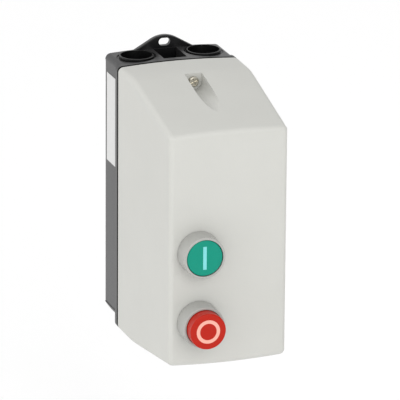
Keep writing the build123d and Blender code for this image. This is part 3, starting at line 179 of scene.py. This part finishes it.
# ---------------------------------------------------------------- earth terminal
# The earth plate is milled brass with a brass screw, and is bolted to its own boss.
brass = plated_steel("milled_brass", "#dcbf73", "#c3a15a", 0.3, 0.35)
dress(brass, "earth_plate", "earth_screw")


# ---------------------------------------------------------------- coil springs
# The return springs are cold-wound spring steel wire, phosphated and lightly oiled.
spring_steel = plated_steel("phosphated_spring_steel", "#9a9b9c", "#7c7d7e", 0.4, 0.2)
dress(spring_steel, "start_spring", "stop_spring", "carrier_springs", "start_plunger_spring", "reset_spring")


# ---------------------------------------------------------------- side label
# A rating label on the left side of the base: white polyester film with a satin
# overlaminate, stuck in the shallow side recess. It is left blank.
def label_film():
    """Polyester film: near white, satin, with a very slight orange-peel from the adhesive."""
    material, tree, shader, position = start_material("polyester_label_film")
    peel = add_node(tree, "ShaderNodeTexNoise", {"Scale": per_mm(2.5), "Detail": 1.0}, {"Vector": position})
    shade = add_node(tree, "ShaderNodeMixRGB", {"Color1": linear("#cfcfce"), "Color2": linear("#c6c6c5")},
                     {"Fac": peel.outputs["Fac"]})
    relief = add_node(tree, "ShaderNodeBump", {"Strength": 0.4, "Distance": 0.02 * MM},
                      {"Height": peel.outputs["Fac"]})
    tree.links.new(shade.outputs["Color"], shader.inputs["Base Color"])
    tree.links.new(relief.outputs["Normal"], shader.inputs["Normal"])
    shader.inputs["Roughness"].default_value = 0.35
    shader.inputs["IOR"].default_value = 1.6
    return material


dress(label_film(), "side_label")


# ---------------------------------------------------------------- contactor and relay cases
# The contactor, the start contact block and the overload relay are closed boxes of grey
# polyamide, snapped together from two halves; the coil end and its latch are black.
device_polyamide = moulded_skin("grey_polyamide_device", "#9c9d9a", "#8f908d", 0.5, 1.53, 0.6, 0.02)
dress(device_polyamide, "contactor_front_housing", "start_block", "relay_housing")
black_polyamide = moulded_skin("black_polyamide", "#232325", "#1a1a1c", 0.45, 1.53, 0.6, 0.02)
dress(black_polyamide, "contactor_rear_housing", "coil_bobbin", "contact_carrier", "rail_latch", "start_nut",
      "stop_nut", "start_rod", "stop_rod")


# ---------------------------------------------------------------- cores and bimetals
# The magnet's two E-shaped cores are stacked from 0.5 mm silicon steel sheets, riveted and
# varnished; the bimetal strips of the relay are rolled from two bonded alloys.
def laminated_steel():
    """Silicon steel: bluish grey with one dark varnish line for each 0.5 mm sheet."""
    material, tree, shader, position = start_material("laminated_silicon_steel")
    sheets = add_node(tree, "ShaderNodeTexWave", {"Scale": per_mm(0.5) / (2 * pi), "Distortion": 0.0,
                                                  "bands_direction": "X"}, {"Vector": position})
    shade = add_node(tree, "ShaderNodeMixRGB", {"Color1": linear("#4a4b50"), "Color2": linear("#8d9096")},
                     {"Fac": sheets.outputs["Fac"]})
    relief = add_node(tree, "ShaderNodeBump", {"Strength": 0.5, "Distance": 0.05 * MM},
                      {"Height": sheets.outputs["Fac"]})
    tree.links.new(shade.outputs["Color"], shader.inputs["Base Color"])
    tree.links.new(relief.outputs["Normal"], shader.inputs["Normal"])
    shader.inputs["Metallic"].default_value = 1.0
    shader.inputs["Roughness"].default_value = 0.45
    return material


dress(laminated_steel(), "fixed_core", "moving_core", "bimetal_strips")


# ---------------------------------------------------------------- winding and contacts
# The coil is enamelled copper wire in close layers. The fixed contacts, bridges and pins
# are stamped from half-hard copper alloy and tumbled.
def enamelled_copper():
    """Copper wire under clear amber enamel, each turn 0.25 mm across, drawn at 0.4 mm."""
    material, tree, shader, position = start_material("enamelled_copper_wire")
    turns = add_node(tree, "ShaderNodeTexWave", {"Scale": per_mm(0.4) / (2 * pi), "Distortion": 0.3,
                                                 "bands_direction": "Y"}, {"Vector": position})
    shade = add_node(tree, "ShaderNodeMixRGB", {"Color1": linear("#5c2a14"), "Color2": linear("#b5622f")},
                     {"Fac": turns.outputs["Fac"]})
    relief = add_node(tree, "ShaderNodeBump", {"Strength": 0.8, "Distance": 0.1 * MM},
                      {"Height": turns.outputs["Fac"]})
    tree.links.new(shade.outputs["Color"], shader.inputs["Base Color"])
    tree.links.new(relief.outputs["Normal"], shader.inputs["Normal"])
    shader.inputs["Metallic"].default_value = 1.0
    shader.inputs["Roughness"].default_value = 0.3
    return material


dress(enamelled_copper(), "coil_winding")
copper_strip = plated_steel("rolled_copper_alloy", "#d9a07a", "#c08a66", 0.34, 0.3)
dress(copper_strip, "line_contacts", "load_contacts", "contact_bridges", "start_block_contacts",
      "start_bridge", "relay_pins", "relay_terminals")


# ---------------------------------------------------------------- plungers and dial
# The start plunger and the current dial are white acetal and the reset plunger is blue
# acetal: turned-looking mouldings, hard and slightly waxy, pushed in from the front.
white_acetal = moulded_skin("white_acetal", "#e9e9e4", "#dededa", 0.32, 1.48, 1.5, 0.01)
dress(white_acetal, "start_plunger", "current_dial")
blue_acetal = moulded_skin("blue_acetal", "#2b5fae", "#24539b", 0.32, 1.48, 1.5, 0.01)
dress(blue_acetal, "reset_plunger")


# ---------------------------------------------------------------- control wires
# Two single-core wires in dark blue soft PVC link the start block with the line terminal
# and with the relay. They are bent by hand and held by the terminals at both ends.
wire_pvc = moulded_skin("soft_pvc_dark_blue", "#29306e", "#222860", 0.38, 1.54, 2.0, 0.01)
dress(wire_pvc, "control_wires")


# ---------------------------------------------------------------- cover
# The cover is a deep hood of light grey polycarbonate blend, moulded in one piece with the
# round groove that leads a screwdriver to the screw. The spark-eroded mould leaves an even,
# fine grain over the whole outside, and the front edges are broad and smooth.
# The real grain is about 0.4 mm apart; it is drawn at 1.1 mm so that it shows.
cover_blend = moulded_skin("light_grey_polycarbonate_blend", "#c1c1bc", "#bcbcb7", 0.5, 1.5, 1.1, 0.05)
dress(cover_blend, "cover")


# ---------------------------------------------------------------- button collars
# Each push-button has a collar of the same light grey, with a smoother skin than the
# cover's. It is pushed through the panel from outside and held by a black nut inside.
collar_plastic = moulded_skin("light_grey_polyamide_collar", "#a4a4a0", "#9f9f9b", 0.3, 1.5, 1.6, 0.008)
dress(collar_plastic, "start_bezel", "stop_bezel")


# ---------------------------------------------------------------- button caps
# The caps are two-shot mouldings: a green or red cap with a pale mark in its own tint let
# into its face, level with it. They have a satin gloss and clip on to the black stems.
def satin_cap(name, light, dark):
    """Hard satin moulding: even colour, soft highlights, the faintest ripple."""
    material, tree, shader, position = start_material(name)
    ripple = add_node(tree, "ShaderNodeTexNoise", {"Scale": per_mm(3.0), "Detail": 2.0}, {"Vector": position})
    shade = add_node(tree, "ShaderNodeMixRGB", {"Color1": linear(dark), "Color2": linear(light)},
                     {"Fac": ripple.outputs["Fac"]})
    relief = add_node(tree, "ShaderNodeBump", {"Strength": 0.5, "Distance": 0.01 * MM},
                      {"Height": ripple.outputs["Fac"]})
    tree.links.new(shade.outputs["Color"], shader.inputs["Base Color"])
    tree.links.new(relief.outputs["Normal"], shader.inputs["Normal"])
    shader.inputs["Roughness"].default_value = 0.33
    shader.inputs["IOR"].default_value = 1.3
    return material


dress(satin_cap("green_abs", "#008a74", "#00846f"), "start_cap")
dress(satin_cap("red_abs", "#b01a04", "#a81703"), "stop_cap")
dress(satin_cap("pale_green_abs", "#7cced0", "#76c7c8"), "start_mark")
dress(satin_cap("pale_red_abs", "#e9ac9c", "#e2a494"), "stop_mark")


# ---------------------------------------------------------------- cover screw
# A captive cheese-head screw of nickel-plated steel with a cross slot, turned in
# from the groove into the base's post.
nickel_plate = plated_steel("nickel_plated_steel", "#cfcabd", "#a8a396", 0.28, 0.25)
dress(nickel_plate, "cover_screw")


# ---------------------------------------------------------------- floor
# A pale matt floor, far enough below the part for its cover to hang open.
hinge_depth, hinge_height = [next(j["pos_m"][i] for j in frame["joints"] if j["name"] == "cover_hinge")
                             for i in (1, 2)]
cover_reach = hinge_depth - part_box("stop_cap")[0].y
FLOOR_HALF = 8.0
FLOOR_CLEARANCE = 0.02

floor_mesh = bpy.data.meshes.new("floor")
shape = bmesh.new()
bmesh.ops.create_grid(shape, x_segments=8, y_segments=8, size=FLOOR_HALF)
shape.to_mesh(floor_mesh)
shape.free()
floor = bpy.data.objects.new("floor", floor_mesh)
floor.location.z = hinge_height - cover_reach - FLOOR_CLEARANCE
bpy.context.scene.collection.objects.link(floor)
pale_paint, floor_tree, floor_shader, floor_position = start_material("pale_floor_paint")
floor_shader.inputs["Base Color"].default_value = linear("#ffffff")
floor_shader.inputs["Roughness"].default_value = 0.9
floor_mesh.materials.append(pale_paint)


# ---------------------------------------------------------------- light
# Soft studio light: an even white surround that is brighter on the left, as beside a large
# window, and one softbox in front and a little above the part.
SURROUND = 0.79
LEFT_GLOW = 0.72
GLOW_DIRECTION = (-1.0, 0.0, 0.17)
centre = (cad_box[0] + cad_box[1]) / 2


def softbox(name, azimuth, elevation, distance, size, watts):
    """A square area lamp that faces the part. Azimuth 0 is in front, positive to the right."""
    lamp = bpy.data.lights.new(name, "AREA")
    lamp.size = size
    lamp.energy = watts
    holder = bpy.data.objects.new(name, lamp)
    turn, tilt = radians(azimuth), radians(elevation)
    away = Vector((sin(turn) * cos(tilt), -cos(turn) * cos(tilt), sin(tilt)))
    holder.location = centre + away * distance
    holder.rotation_euler = away.to_track_quat("Z", "Y").to_euler()
    bpy.context.scene.collection.objects.link(holder)


softbox("front_softbox", 0, 24, 1.0, 0.5, 2.8)

world = bpy.data.worlds.new("studio")
world.use_nodes = True
world_tree = world.node_tree
facing = add_node(world_tree, "ShaderNodeTexCoord").outputs["Generated"]
leftward = add_node(world_tree, "ShaderNodeVectorMath", {"operation": "DOT_PRODUCT"}, {"Vector": facing})
leftward.inputs[1].default_value = GLOW_DIRECTION
glow = add_node(world_tree, "ShaderNodeMapRange", {"From Min": 0.0, "From Max": 1.0, "To Min": SURROUND,
                                                   "To Max": SURROUND + LEFT_GLOW},
                {"Value": leftward.outputs["Value"]})
background = world_tree.nodes["Background"]
background.inputs["Color"].default_value = (1.0, 1.0, 1.0, 1.0)
world_tree.links.new(glow.outputs["Result"], background.inputs["Strength"])
bpy.context.scene.world = world
bpy.context.scene.view_settings.view_transform = "Standard"


# ---------------------------------------------------------------- camera
# A long lens, in front and to the left of the part, looking down on it by about 18 degrees.
CAMERA_AZIMUTH = -18.75
CAMERA_ELEVATION = 18.08
CAMERA_ROLL = 0.446
CAMERA_DISTANCE = 3.153
TARGET = Vector((9.36, -60.0, -0.99)) * MM
SENSOR_WIDTH = 36.0
FOCAL_IN_FRAMES = 11.2268
SIDE_SHIFT = -0.0037
CLIP_END = 100.0

turn, tilt = radians(CAMERA_AZIMUTH), radians(CAMERA_ELEVATION)
away = Vector((sin(turn) * cos(tilt), -cos(turn) * cos(tilt), sin(tilt)))
lens = bpy.data.cameras.new("camera")
lens.sensor_width = SENSOR_WIDTH
lens.lens = FOCAL_IN_FRAMES * SENSOR_WIDTH
lens.shift_x = SIDE_SHIFT
lens.clip_end = CLIP_END
camera = bpy.data.objects.new("camera", lens)
camera.location = TARGET + away * CAMERA_DISTANCE
camera.rotation_euler = (away.to_track_quat("Z", "Y").to_matrix()
                         @ Matrix.Rotation(radians(CAMERA_ROLL), 3, "Z")).to_euler()
bpy.context.scene.collection.objects.link(camera)
bpy.context.scene.camera = camera
